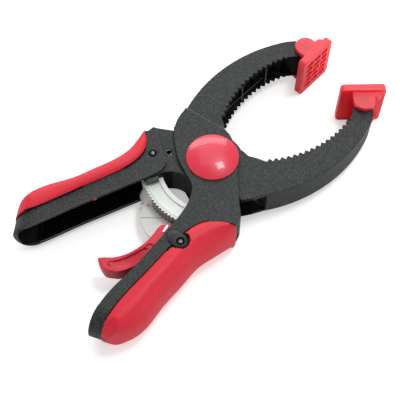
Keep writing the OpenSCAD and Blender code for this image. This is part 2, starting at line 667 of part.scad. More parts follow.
module trigger_pin() {
    color(STEEL) placed() translate([trigger_at[0], trigger_at[1], 0]) slab(grip_half - 1.9) circle(trigger_pin_r);
}
small_wire = 0.7;
module trigger_spring() {
    r = trigger_pin_r + fit + 0.75;
    color(STEEL) placed()
        translate([trigger_at[0], trigger_at[1], lever_top - spring_pocket / 2])
            wire(coil(r, small_wire + 0.35, 4, 0), small_wire / 2);
}

// ---------------------------------------------------------------- pads
ear_t = 3.2;
pad_pin_half = hub_half + free + ear_t - 1;
module pad() {
    // drawn with the pin at the origin and the gripping face towards -Y
    back = -pad_seat + pad_plate;
    chamfer = 1.6;
    half = pad_len / 2;
    difference() {
        union() {
            rotate([90, 0, 0]) translate([0, 0, -back]) linear_extrude(pad_plate)
                polygon([[-half, chamfer - pad_high / 2], [-half + chamfer, -pad_high / 2],
                    [half - chamfer, -pad_high / 2], [half, chamfer - pad_high / 2],
                    [half, pad_high / 2 - chamfer], [half - chamfer, pad_high / 2],
                    [-half + chamfer, pad_high / 2], [-half, pad_high / 2 - chamfer]]);
            // two ears that clasp the jaw tip, and a rounded gusset at the outer end
            both_faces() layer(hub_half + free, hub_half + free + ear_t) {
                circle(pad_eye_r + 1.6);
                translate([-pad_eye_r - 1.6, back - 0.5]) square([2 * pad_eye_r + 3.2, 0.5 - back]);
                translate([half - 5.6, back]) circle(3.2);
            }
        }
        // blind holes for the pin, whose ends the ears snap over
        slab(pad_pin_half + seat) circle(pad_pin_r + fit);
        // sunk grid in the gripping face
        for (i = [-1:1], k = [-2:2])
            translate([i * 6.6 - 2.7, -pad_seat - over, k * 4.7 - 1.75]) cube([5.4, over + 1.4, 3.5]);
    }
}
module pad_pin() { slab(pad_pin_half) circle(pad_pin_r); }
module fixed_pad() {
    color(PAD_RED) placed() translate([pin_at[0], pin_at[1], 0]) rotate(fixed_pad_turn) pad();
}
module moving_pad() {
    color(PAD_RED) placed() translate([pin_at[0], -pin_at[1], 0]) rotate(moving_pad_turn) mirror([0, 1, 0]) pad();
}
module fixed_pad_pin() { color(STEEL) placed() translate([pin_at[0], pin_at[1], 0]) pad_pin(); }
module moving_pad_pin() { color(STEEL) placed() translate([pin_at[0], -pin_at[1], 0]) pad_pin(); }

fixed_arm();
fixed_grip();
pivot_bolt();
pivot_nut();
pivot_bush();
pivot_washers();
front_cap();
rear_cap();
jaw_spring();
trigger_pin();
trigger_spring();
fixed_pad_pin();
moving_arm();
handle_shell();
handle_grip();
handle_rivet();
bar_pin();
ratchet_bar();
bar_guide();
moving_pad_pin();
trigger();
pawl();
pawl_pin();
fixed_pad();
moving_pad();
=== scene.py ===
"""Looks of a ratcheting spring clamp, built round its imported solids.

Lengths are in metres. Places on the clamp are written in millimetres from the main pivot at
mid height, and at() turns them into metres.
"""
import json
import math

import bpy
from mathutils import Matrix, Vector

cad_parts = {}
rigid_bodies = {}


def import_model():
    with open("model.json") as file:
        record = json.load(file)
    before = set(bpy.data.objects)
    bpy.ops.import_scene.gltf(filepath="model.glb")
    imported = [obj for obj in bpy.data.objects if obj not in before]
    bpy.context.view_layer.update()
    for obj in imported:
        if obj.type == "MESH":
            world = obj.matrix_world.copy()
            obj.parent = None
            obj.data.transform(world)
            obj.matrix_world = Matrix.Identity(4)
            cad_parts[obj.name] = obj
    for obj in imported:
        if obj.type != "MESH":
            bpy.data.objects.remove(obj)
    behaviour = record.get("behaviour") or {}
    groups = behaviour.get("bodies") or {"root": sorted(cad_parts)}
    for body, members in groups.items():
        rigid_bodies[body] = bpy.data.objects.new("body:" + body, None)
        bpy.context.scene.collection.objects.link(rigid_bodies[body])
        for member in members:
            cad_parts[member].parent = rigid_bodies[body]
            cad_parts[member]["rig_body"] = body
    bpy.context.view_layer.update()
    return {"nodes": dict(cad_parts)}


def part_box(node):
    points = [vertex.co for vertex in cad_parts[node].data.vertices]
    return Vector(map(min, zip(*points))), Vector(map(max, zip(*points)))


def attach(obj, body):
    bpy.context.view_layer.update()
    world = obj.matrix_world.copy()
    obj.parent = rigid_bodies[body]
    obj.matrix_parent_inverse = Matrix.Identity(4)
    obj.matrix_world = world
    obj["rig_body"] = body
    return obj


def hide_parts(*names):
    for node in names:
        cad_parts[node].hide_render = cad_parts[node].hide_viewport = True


bl_info = {
    "name": "Spring Clamp Looks",
    "version": (1, 0, 0),
    "blender": (4, 5, 0),
    "location": "3D View > Sidebar > Clamp",
    "description": "Dresses the solids of a ratcheting spring clamp in moulded plastic and steel",
    "category": "Object",
}

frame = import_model()
MM = 0.001


def centre_of(node):
    low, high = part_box(node)
    return (low + high) / 2


PIVOT = centre_of("pivot_bush")  # the main pivot at mid height


def at(x, y, z=0.0):
    """A point given in millimetres from the main pivot at mid height."""
    return PIVOT + Vector((x, y, z)) * MM


def from_pivot(point):
    """A point's place in millimetres from the main pivot at mid height."""
    return (point - PIVOT) / MM


def reach_of(node):
    """How far from mid height a node's furthest face lies, in millimetres."""
    low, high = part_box(node)
    return max(high.z - PIVOT.z, PIVOT.z - low.z) / MM


HUB = reach_of("moving_arm")  # faces of hub and jaws, from mid height
CHEEK = reach_of("handle_shell")  # outer faces of the cheeks
CHEEK_GAP = 0.2  # between the hub's face and a cheek's inner face
TRIGGER_PIN = from_pivot(centre_of("trigger_pin"))


def share_of(part, whole):
    """A part of a whole, held between 0 and 1."""
    return max(0.0, min(1.0, part / whole))


def tone(red, green, blue):
    """A screen colour, 0 to 255, as the linear colour that a shader takes."""
    return tuple(
        (c / 255 / 12.92) if c / 255 <= 0.04045 else ((c / 255 + 0.055) / 1.055) ** 2.4
        for c in (red, green, blue)
    )


# ------------------------------------------------------------------ what a user may change
def colour(name, description, default):
    return bpy.props.FloatVectorProperty(
        name=name, description=description, subtype="COLOR", size=3, min=0, max=1, default=default
    )


def length(name, description, default, low, high):
    return bpy.props.FloatProperty(
        name=name, description=description, subtype="DISTANCE", unit="LENGTH",
        default=default, min=low, max=high, precision=5,
    )


def power(name, description, default):
    return bpy.props.FloatProperty(name=name, description=description, default=default, min=0, max=50)


class ClampColours(bpy.types.PropertyGroup):
    nylon: colour("Nylon", "Arms and handle troughs", tone(11, 14, 13))
    grip: colour("Soft grip", "Overmoulded grips", tone(210, 6, 42))
    cap: colour("Pivot cap", "Glossy dome over the main bolt", tone(214, 18, 56))
    lever: colour("Trigger", "Finger lever", tone(206, 34, 56))
    pad: colour("Pads", "Swivel pads", tone(228, 18, 44))
    bar: colour("Ratchet bar", "Toothed quadrant", tone(232, 237, 231))
    steel: colour("Steel", "Pins, bolt and pawl", tone(104, 106, 105))
    floor: colour("Floor", "Floor under the clamp", tone(250, 251, 250))


class ClampEdges(bpy.types.PropertyGroup):
    nylon_edge: length("Nylon edge", "Rounding of the moulded arms' edges", 0.00045, 0.0001, 0.001)
    bar_edge: length("Bar edge", "Rounding of the ratchet bar's edges", 0.00018, 0.0001, 0.0005)
    pin_edge: length("Pin edge", "Rounding of pins and bolt", 0.0003, 0.0001, 0.0006)


class ClampView(bpy.types.PropertyGroup):
    target: bpy.props.FloatVectorProperty(
        name="Looks at", description="Point on the floor that the camera looks at",
        subtype="TRANSLATION", unit="LENGTH", size=3, default=(-0.01096, -0.00318, 0.0),
    )
    eye: bpy.props.FloatVectorProperty(
        name="Camera offset", description="Camera's place from the point that it looks at",
        subtype="TRANSLATION", unit="LENGTH", size=3, default=(-0.1568, -0.1937, 0.4498),
    )
    lens: bpy.props.FloatProperty(
        name="Lens", description="Focal length in millimetres", default=81.0, min=20, max=200,
    )
    key: power("Key lamp", "Power of the overhead lamp, in watts", 3.0)
    back: power("Back softbox", "Power of the softbox behind, in watts", 3.6)
    wash: power("Wash", "Power of the lamp over the far side, in watts", 2.2)
    side: power("Side lamp", "Power of the low lamp at the side, in watts", 1.2)
    sky: bpy.props.FloatProperty(
        name="Fill", description="Strength of the even light", default=0.5, min=0, max=2,
    )
    floor_glow: bpy.props.FloatProperty(
        name="Floor glow", description="How much whiter than lit the floor is shown",
        default=0.4, min=0, max=1,
    )


# ------------------------------------------------------------------ modelling helpers
def deselect():
    if bpy.context.object and bpy.context.object.mode != "OBJECT":
        bpy.ops.object.mode_set(mode="OBJECT")
    bpy.ops.object.select_all(action="DESELECT")


def take(piece):
    deselect()
    piece.select_set(True)
    bpy.context.view_layer.objects.active = piece


def edit(piece, mode):
    take(piece)
    bpy.ops.object.mode_set(mode="EDIT")
    bpy.ops.mesh.select_mode(type=mode)
    bpy.ops.mesh.select_all(action="DESELECT")


def pick(piece, faces=None, edges=None, points=None):
    """Selects by a test on each face, edge or point's place, while the piece is in edit mode."""
    bpy.ops.object.mode_set(mode="OBJECT")
    mesh = piece.data
    if faces:
        for f in mesh.polygons:
            f.select = faces(f)
    if edges:
        for e in mesh.edges:
            e.select = edges(e)
    if points:
        for v in mesh.vertices:
            v.select = points(v.co)
    bpy.ops.object.mode_set(mode="EDIT")


def modify(piece, kind, **settings):
    take(piece)
    modifier = piece.modifiers.new(kind.title(), kind)
    for key, value in settings.items():
        setattr(modifier, key, value)
    bpy.ops.object.modifier_apply(modifier=modifier.name)


def smooth(piece, degrees):
    take(piece)
    bpy.ops.object.shade_smooth_by_angle(angle=math.radians(degrees))


def outward(piece):
    """Merges points that coincide and turns every face outward."""
    edit(piece, "VERT")
    bpy.ops.mesh.select_all(action="SELECT")
    bpy.ops.mesh.remove_doubles(threshold=1e-6)
    bpy.ops.mesh.normals_make_consistent(inside=False)
    bpy.ops.object.mode_set(mode="OBJECT")


def settle(piece):
    """Puts a piece's place into its mesh, so that its object sits at the origin."""
    take(piece)
    bpy.ops.object.transform_apply(location=True, rotation=True, scale=True)


def made(name):
    """The primitive that was just added, named and with its place in its mesh."""
    piece = bpy.context.object
    piece.name = name
    settle(piece)
    return piece


def turn(piece, degrees, axis):
    """Turns a piece round an axis through the origin."""
    take(piece)
    bpy.ops.transform.rotate(
        value=math.radians(degrees), orient_axis=axis, center_override=(0, 0, 0),
    )
    settle(piece)


def shift(piece, way):
    take(piece)
    bpy.ops.transform.translate(value=way)
    settle(piece)


def wear(piece, finish):
    piece.data.materials.clear()
    piece.data.materials.append(bpy.data.materials[finish])


def copy_of(node, name):
    """A new piece with a merged copy of a solid's mesh."""
    piece = bpy.data.objects.new(name, frame["nodes"][node].data.copy())
    bpy.context.scene.collection.objects.link(piece)
    edit(piece, "VERT")
    bpy.ops.mesh.select_all(action="SELECT")
    bpy.ops.mesh.remove_doubles(threshold=2e-6)
    bpy.ops.object.mode_set(mode="OBJECT")
    return piece


def body_of(node):
    return frame["nodes"][node]["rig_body"]


def add_to(piece, body, finish):
    wear(piece, finish)
    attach(piece, body)


def stand_for(piece, node, finish):
    """Lets a piece stand for a node's solid, on the node's body."""
    add_to(piece, body_of(node), finish)
    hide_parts(node)


SAME_LEVEL = 2e-5  # faces whose heights differ by less than this lie in one plane
FINE_EDGE = math.radians(40)  # sharper edges than this are rounded by a bevel


def open_edges(mesh, along, flat):
    """Edges where a flat face meets a gentle slope, which stay as they are."""
    level_edges = {key for f in mesh.polygons if flat(f) for key in f.edge_keys}
    slopes = [f for f in mesh.polygons if not flat(f) and f.normal.dot(along) > 0.7]
    return [
        tuple(mesh.vertices[i].co.copy() for i in key)
        for f in slopes for key in f.edge_keys if key in level_edges
    ]


def distance_to(point, a, b):
    """How far a point lies from the stretch between two others."""
    along = b - a
    share = share_of((point - a).dot(along), max(along.length_squared, 1e-16))
    return (point - a - along * share).length


def round_rim(piece, along, level, width, steps=3):
    """Rounds the rim of the flat faces that look along a direction, at a level from the origin."""
    def flat(f):
        return f.normal.dot(along) > 0.999 and abs(f.center.dot(along) - level) < SAME_LEVEL

    mesh = piece.data
    kept = open_edges(mesh, along, flat)
    rim = {v for f in mesh.polygons if flat(f) for v in f.vertices}
    count = len(mesh.vertices)
    edit(piece, "FACE")
    pick(piece, faces=flat)
    bpy.ops.transform.translate(value=-along * width)
    for step in range(steps):
        low, high = (math.pi / 2 * k / steps for k in (step, step + 1))
        bpy.ops.mesh.inset(
            thickness=width * (math.cos(low) - math.cos(high)),
            depth=width * (math.sin(high) - math.sin(low)),
            use_even_offset=True, use_boundary=True,
        )
    bpy.ops.object.mode_set(mode="OBJECT")
    # Where the flat face runs on into a slope there is no rim, so its points go back up.
    for v in mesh.vertices if kept else ():
        drop = level - v.co.dot(along)
        if 0 < drop < 1.01 * width and (v.index >= count or v.index in rim):
            here = v.co + along * drop
            if min(distance_to(here, *edge) for edge in kept) < 1.05 * width:
                v.co = here


def even_shade(piece):
    """Smooth shading that leaves the large flat faces flat."""
    smooth(piece, 40)
    modify(piece, "WEIGHTED_NORMAL", mode="FACE_AREA", weight=100, keep_sharp=True)


def dress(piece, finish, faces):
    """Puts one more finish on the faces that pass a test."""
    piece.data.materials.append(bpy.data.materials[finish])
    for face in piece.data.polygons:
        if faces(face):
            face.material_index = len(piece.data.materials) - 1


def is_inside(face):
    """Whether a face of an arm or shell looks into its jaw channel or its handle trough, where a
    near-black finish paints the shade.
    """
    here = from_pivot(face.center)
    hub_radius = 22
    if abs(here.x) < hub_radius and abs(here.y) < hub_radius:
        return False
    if abs(face.normal.z) > 0.7:
        return here.z * face.normal.z < 0
    jaws, handles = Vector((45, 0, 0)), Vector((-70, 0, 0))
    middle = jaws if here.x > 0 else handles
    return abs(here.z) < HUB - 0.1 and face.normal.dot(middle - here) > 0


def refine(node, name, finish, edge, levels, steps=3, shape=None, highlit_rims=None):
    """A solid's copy with the rims at the given heights (millimetres from mid height) rounded.
    A negative height is that of the inner faces of two walls, which look at each other.
    A function may reshape it before it is shaded, and a test may choose rims that get a lighter finish
    as a painted highlight."""
    piece = copy_of(node, name)
    count = len(piece.data.polygons)
    up = Vector((0, 0, 1))
    for level in levels:
        round_rim(piece, up, PIVOT.z + level * MM, edge, steps)
        round_rim(piece, -up, level * MM - PIVOT.z, edge, steps)
    if shape:
        shape(piece)
    even_shade(piece)
    stand_for(piece, node, finish)
    # Faces inside channels and troughs get a near-black finish: painted shade in the recesses.
    if finish == "Grained nylon":
        dress(piece, "Inside nylon", is_inside)
    # Rims that the test picks get a lighter finish: a painted highlight.
    if highlit_rims:
        dress(piece, "Worn nylon edge", lambda f: f.index >= count and highlit_rims(f))


def remould(node, name, finish, grid, passes):
    """A solid's copy with all of its edges softened, as a moulding's are."""
    piece = copy_of(node, name)
    modify(piece, "REMESH", mode="VOXEL", voxel_size=grid)
    modify(piece, "SMOOTH", factor=0.5, iterations=passes)
    smooth(piece, 60)
    stand_for(piece, node, finish)
    return piece


def round_line(piece, body, radius, finish, caps=True):
    """Turns a piece of bare edges into a thin round line."""
    bpy.ops.object.convert(target="CURVE")
    piece.data.bevel_depth = radius
    piece.data.bevel_resolution = 2
    piece.data.use_fill_caps = caps
    bpy.ops.object.convert(target="MESH")
    smooth(piece, 60)
    add_to(piece, body, finish)


def tube(name, points, radius, finish, slot, body):
    """A thin round line through the given points."""
    bpy.ops.mesh.primitive_plane_add(size=0.01, location=points[0])
    piece = made(name)
    edit(piece, "VERT")
    bpy.ops.mesh.select_all(action="SELECT")
    bpy.ops.mesh.merge(type="CENTER")
    for before, after in zip(points, points[1:]):
        bpy.ops.mesh.extrude_region_move(TRANSFORM_OT_translate={"value": after - before})
    bpy.ops.object.mode_set(mode="OBJECT")
    round_line(piece, body, radius, finish)


def washer(name, centre, outer, inner, height, edge, finish, body):
    """A flat ring, or a disc where the inner radius is 0, that stands up or down from a face."""
    bpy.ops.mesh.primitive_circle_add(vertices=64, radius=outer, fill_type="NGON", location=centre)
    piece = made(name)
    edit(piece, "FACE")
    bpy.ops.mesh.select_all(action="SELECT")
    if inner:
        bpy.ops.mesh.inset(thickness=outer - inner)
        bpy.ops.mesh.delete(type="FACE")
        bpy.ops.mesh.select_all(action="SELECT")
    bpy.ops.mesh.extrude_region_move(TRANSFORM_OT_translate={"value": (0, 0, height)})
    bpy.ops.object.mode_set(mode="OBJECT")
    outward(piece)
    modify(piece, "BEVEL", width=edge, segments=3, limit_method="ANGLE", angle_limit=FINE_EDGE)
    even_shade(piece)
    add_to(piece, body, finish)
    return piece


# ------------------------------------------------------------------ finishes
def new_finish(name):
    """A new material's node tree and its shader."""
    finish = bpy.data.materials.new(name)
    finish.use_nodes = True
    tree = finish.node_tree
    return tree, tree.nodes["Principled BSDF"]


def place(tree, kind, x, y, **inputs):
    node = tree.nodes.new("ShaderNode" + kind)
    node.location = (x, y)
    for key, value in inputs.items():
        node.inputs[key.replace("_", " ")].default_value = value
    return node


def operate(tree, operation, x, y, kind="Math"):
    node = place(tree, kind, x, y)
    node.operation = operation
    return node


def mix_colours(tree, x, y, **inputs):
    node = place(tree, "Mix", x, y)
    node.data_type = "RGBA"
    for key, value in inputs.items():
        node.inputs[key].default_value = (*value, 1)
    return node


def grain_group():
    """Moulded grain: fine flecks, slow drift of tone and sheen, and small dimples."""
    group = bpy.data.node_groups.new("Moulded grain", "ShaderNodeTree")
    for name, kind, default in (
        ("Colour", "NodeSocketColor", (0.5, 0.5, 0.5, 1)),
        ("Fleck colour", "NodeSocketColor", (0.6, 0.6, 0.6, 1)),
        ("Fleck amount", "NodeSocketFloat", 0.3),
        ("Grain scale", "NodeSocketFloat", 1500.0),
        ("Grain depth", "NodeSocketFloat", 0.2),
        ("Roughness", "NodeSocketFloat", 0.5),
        ("Roughness spread", "NodeSocketFloat", 0.1),
        ("Drift", "NodeSocketFloat", 0.1),
    ):
        socket = group.interface.new_socket(name=name, in_out="INPUT", socket_type=kind)
        socket.default_value = default
    for name, kind in (
        ("Colour", "NodeSocketColor"), ("Roughness", "NodeSocketFloat"), ("Normal", "NodeSocketVector"),
    ):
        group.interface.new_socket(name=name, in_out="OUTPUT", socket_type=kind)
    source = group.nodes.new("NodeGroupInput")
    source.location = (-1100, 0)
    result = group.nodes.new("NodeGroupOutput")
    result.location = (700, 0)
    where = place(group, "TexCoord", -1100, -420)
    fine = place(group, "TexNoise", -800, 120, Detail=3.0, Roughness=0.62)
    slow = place(group, "TexNoise", -800, -220, Scale=38.0, Detail=4.0, Roughness=0.55)
    fleck = place(group, "MapRange", -560, 120, From_Min=0.43, From_Max=0.63)
    amount = operate(group, "MULTIPLY", -340, 120)
    mix = mix_colours(group, -120, 160)
    drift = place(group, "MapRange", -560, -220, To_Min=-0.5, To_Max=0.5)
    swing = operate(group, "MULTIPLY_ADD", -340, -220)
    swing.inputs[2].default_value = 1.0
    tint = operate(group, "SCALE", 140, 160, "VectorMath")
    rough = operate(group, "MULTIPLY_ADD", -120, -120)
    bump = place(group, "Bump", 140, -320, Distance=0.0002)
    link = group.links.new
    link(where.outputs["Object"], fine.inputs["Vector"])
    link(where.outputs["Object"], slow.inputs["Vector"])
    link(source.outputs["Grain scale"], fine.inputs["Scale"])
    link(fine.outputs["Fac"], fleck.inputs["Value"])
    link(fleck.outputs["Result"], amount.inputs[0])
    link(source.outputs["Fleck amount"], amount.inputs[1])
    link(amount.outputs["Value"], mix.inputs["Factor"])
    link(source.outputs["Colour"], mix.inputs["A"])
    link(source.outputs["Fleck colour"], mix.inputs["B"])
    link(slow.outputs["Fac"], drift.inputs["Value"])
    link(drift.outputs["Result"], swing.inputs[0])
    link(source.outputs["Drift"], swing.inputs[1])
    link(mix.outputs["Result"], tint.inputs[0])
    link(swing.outputs["Value"], tint.inputs["Scale"])
    link(drift.outputs["Result"], rough.inputs[0])
    link(source.outputs["Roughness spread"], rough.inputs[1])
    link(source.outputs["Roughness"], rough.inputs[2])
    link(fine.outputs["Fac"], bump.inputs["Height"])
    link(source.outputs["Grain depth"], bump.inputs["Strength"])
    link(tint.outputs["Vector"], result.inputs["Colour"])
    link(rough.outputs["Value"], result.inputs["Roughness"])
    link(bump.outputs["Normal"], result.inputs["Normal"])
    return group


def moulded(name, base, fleck, amount=0.2, scale=1500, depth=0.08, roughness=0.4, spread=0.08,
            drift=0.08, **shader):
    """A plastic finish: the shared grain with this finish's own values."""
    tree, skin = new_finish(name)
    skin.location = (300, 0)
    grain = place(tree, "Group", 0, 0)
    grain.node_tree = bpy.data.node_groups.get("Moulded grain") or grain_group()
    for key, value in (
        ("Colour", (*base, 1)), ("Fleck colour", (*fleck, 1)), ("Fleck amount", amount),
        ("Grain scale", scale), ("Grain depth", depth), ("Roughness", roughness),
        ("Roughness spread", spread), ("Drift", drift),
    ):
        grain.inputs[key].default_value = value
    for key, value in shader.items():
        skin.inputs[key.replace("_", " ")].default_value = value
    tree.links.new(grain.outputs["Colour"], skin.inputs["Base Color"])
    tree.links.new(grain.outputs["Roughness"], skin.inputs["Roughness"])
    tree.links.new(grain.outputs["Normal"], skin.inputs["Normal"])


def lighter(base, share):
    return tuple(c + (1 - c) * share for c in base)


def darker(base, share):
    return tuple(c * (1 - share) for c in base)


class CLAMP_OT_finishes(bpy.types.Operator):
    """Make every finish that the clamp's pieces wear"""

    bl_idname = "clamp.finishes"
    bl_label = "Finishes"

    def execute(self, context):
        chosen = context.scene.clamp_colours
        self.nylons(tuple(chosen.nylon))
        self.reds(*(tuple(c) for c in (chosen.grip, chosen.cap, chosen.lever, chosen.pad)))
        bar = tuple(chosen.bar)
        moulded("Bar plastic", bar, darker(bar, 0.12), amount=0.25, scale=900, depth=0.05,
                roughness=0.36, drift=0.05)
        self.bar_marks()
        self.steel("Drawn steel", tuple(chosen.steel))
        # A much lighter copy of the same steel: a painted highlight.
        self.steel("Bright steel", lighter(tuple(chosen.steel), 0.75))
        return {"FINISHED"}

    def nylons(self, nylon):
        """The arms' grained nylon; a lighter nylon, painted highlight for rims and rib edges; a
        near-black nylon, painted shade inside channels and troughs; a lighter copy, standing for the
        light on the bar's guide; and a black finish, painted shadow in joints and round pins.
        """
        moulded("Grained nylon", nylon, tone(52, 59, 57), amount=0.8, scale=1000, depth=0.45,
                roughness=0.5, spread=0.14, drift=0.3, Specular_IOR_Level=0.3)
        # Lighter nylon: painted highlight on rounded rims and rib edges.
        moulded("Worn nylon edge", tone(62, 66, 65), tone(104, 108, 106), amount=0.8, depth=0.3,
                roughness=0.42, spread=0.14, drift=0.2, Specular_IOR_Level=0.5)
        # Near-black, barely glossy nylon: painted shade for the faces inside channels and troughs.
        moulded("Inside nylon", tone(3, 3, 3), tone(13, 14, 14), amount=0.5, scale=1000,
                depth=0.25, roughness=0.5, spread=0.1, drift=0.2, Specular_IOR_Level=0.08)
        # A lighter copy of the nylon, standing for the light on the bar's guide block.
        moulded("Guide nylon", lighter(nylon, 0.03), lighter(nylon, 0.07), amount=0.6, scale=1300,
                depth=0.3, roughness=0.45, spread=0.1, drift=0.2)
        # Near-black finish: painted shadow in joints, grooves, pockets and round pin ends.
        moulded("Joint shadow", (0.0015, 0.0015, 0.0015), nylon, scale=1300, depth=0.1,
                roughness=0.8, spread=0.05, drift=0.1, Specular_IOR_Level=0.1)

    def reds(self, grip, cap, lever, pad):
        """Soft rubber, glossy cap, lever with a darker red for the painted shadow in its panel's
        groove, and the pads' translucent plastic.
        """
        moulded("Soft grip rubber", grip, lighter(grip, 0.03), amount=0.5, scale=1700, depth=0.16,
                roughness=0.5, drift=0.12, Specular_IOR_Level=0.4)
        moulded("Glossy cap", cap, lighter(cap, 0.05), amount=0.15, scale=260, depth=0.02,
                roughness=0.34, spread=0.05, drift=0.06, Specular_IOR_Level=0.42,
                Coat_Weight=0.38, Coat_Roughness=0.05)
        # Darker lever red: painted shadow in the panel's groove.
        moulded("Panel line", darker(lever, 0.5), lever, amount=0.1, roughness=0.6,
                Specular_IOR_Level=0.1)
        moulded("Lever plastic", lever, lighter(lever, 0.06), amount=0.3, roughness=0.38,
                Specular_IOR_Level=0.35)
        moulded("Pad plastic", pad, lighter(pad, 0.08), roughness=0.46, Specular_IOR_Level=0.7,
                Subsurface_Weight=0.8, Subsurface_Radius=(1.0, 0.08, 0.1), Subsurface_Scale=0.012)

    def bar_marks(self):
        """Painted shade on the teeth's side wall and between the teeth, a painted shadow line near
        their root, and a darker line across the flange.
        """
        tree = bpy.data.materials["Bar plastic"].node_tree
        grain, skin = tree.nodes["Group"], tree.nodes["Principled BSDF"]
        link = tree.links.new
        low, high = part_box("ratchet_bar")
        flange_top = low.z + 1.5 * MM
        tooth_root = 38.6 * MM  # radius of the floor between two teeth
        wall_ends = (PIVOT.y + 4.6 * MM, PIVOT.y + 3.4 * MM)

        def ramp(source, start, end, y):
            """Rises from 0 to 1 while the source goes from start to end."""
            band = place(tree, "MapRange", -700, y, From_Min=start, From_Max=end)
            link(source, band.inputs["Value"])
            return band.outputs["Result"]

        def times(a, b, y):
            product = operate(tree, "MULTIPLY", -450, y)
            link(a, product.inputs[0])
            link(b, product.inputs[1])
            return product.outputs["Value"]

        where = place(tree, "TexCoord", -1300, -500).outputs["Object"]
        split = place(tree, "SeparateXYZ", -1100, -700)
        centred = place(tree, "Mapping", -1100, -300, Location=(-PIVOT.x, -PIVOT.y, 0), Scale=(1, 1, 0))
        radius = operate(tree, "LENGTH", -900, -300, "VectorMath")
        link(where, split.inputs["Vector"])
        link(where, centred.inputs["Vector"])
        link(centred.outputs["Vector"], radius.inputs[0])
        radius, height = radius.outputs["Value"], split.outputs["Z"]

        # Mask of the teeth's side wall above the flange, where the painted shade goes.
        wall = times(ramp(height, high.z - 0.2 * MM, high.z - 0.5 * MM, -500),
                     ramp(height, flange_top, flange_top + 0.3 * MM, -700), -600)
        wall = times(wall, ramp(split.outputs["Y"], *wall_ends, -900), -800)
        wall = times(wall, ramp(radius, tooth_root, tooth_root + 0.3 * MM, -300), -400)
        # Near-black at the tooth roots to grey at the tips: painted shade between the teeth.
        tooth = mix_colours(tree, -200, -200, A=tone(26, 27, 27), B=tone(132, 134, 132))
        link(ramp(radius, tooth_root + 0.5 * MM, tooth_root + 1.6 * MM, -100), tooth.inputs["Factor"])
        # A darker ring just inside the tooth roots: a painted shadow line.
        root = times(ramp(radius, tooth_root - 0.6 * MM, tooth_root - 0.4 * MM, 300),
                     ramp(radius, tooth_root, tooth_root - 0.2 * MM, 100), 200)
        root_shadow_line = mix_colours(tree, -200, 200, B=tone(176, 180, 176))
        link(root, root_shadow_line.inputs["Factor"])
        link(grain.outputs["Colour"], root_shadow_line.inputs["A"])
        # The side wall of the teeth takes the painted tooth shade.
        painted_tooth_shade = mix_colours(tree, 80, -200)
        link(wall, painted_tooth_shade.inputs["Factor"])
        link(root_shadow_line.outputs["Result"], painted_tooth_shade.inputs["A"])
        link(tooth.outputs["Result"], painted_tooth_shade.inputs["B"])

        # A darker straight line across the flange.
        start, end = at(-49.11, 3.06), at(-41.43, -3.47)
        slope = -math.atan2(end.y - start.y, end.x - start.x)
        drop = -(math.sin(slope) * start.x + math.cos(slope) * start.y)
        across = place(tree, "Mapping", -1100, -1100, Rotation=(0, 0, slope), Location=(0, drop, 0))
        offset = place(tree, "SeparateXYZ", -900, -1100)
        away = operate(tree, "ABSOLUTE", -800, -1250)
        link(where, across.inputs["Vector"])
        link(across.outputs["Vector"], offset.inputs["Vector"])
        link(offset.outputs["Y"], away.inputs[0])
        line = times(ramp(away.outputs["Value"], 0.3 * MM, 0.12 * MM, -1100),
                     ramp(height, flange_top + 0.4 * MM, flange_top + 0.2 * MM, -1300), -1200)
        lined = mix_colours(tree, 80, -500, B=tone(140, 142, 140))
        link(line, lined.inputs["Factor"])
        link(painted_tooth_shade.outputs["Result"], lined.inputs["A"])
        link(lined.outputs["Result"], skin.inputs["Base Color"])

    def steel(self, name, base):
        """Bare steel with fine turning marks, which run round an upright pin."""
        tree, skin = new_finish(name)
        skin.location = (300, 0)
        where = place(tree, "TexCoord", -900, 0)
        stretch = place(tree, "Mapping", -700, 0, Scale=(900, 900, 9000))
        scratch = place(tree, "TexNoise", -500, 0, Scale=1.0, Detail=3.0)
        shine = place(tree, "MapRange", -250, -120, To_Min=0.2, To_Max=0.42)
        mix = mix_colours(tree, -250, 160, A=base, B=darker(base, 0.3))
        bump = place(tree, "Bump", -250, -420, Strength=0.15, Distance=0.0001)
        skin.inputs["Metallic"].default_value = 1.0
        link = tree.links.new
        link(where.outputs["Object"], stretch.inputs["Vector"])
        link(stretch.outputs["Vector"], scratch.inputs["Vector"])
        link(scratch.outputs["Fac"], shine.inputs["Value"])
        link(scratch.outputs["Fac"], mix.inputs["Factor"])
        link(scratch.outputs["Fac"], bump.inputs["Height"])
        link(mix.outputs["Result"], skin.inputs["Base Color"])
        link(shine.outputs["Result"], skin.inputs["Roughness"])
        link(bump.outputs["Normal"], skin.inputs["Normal"])


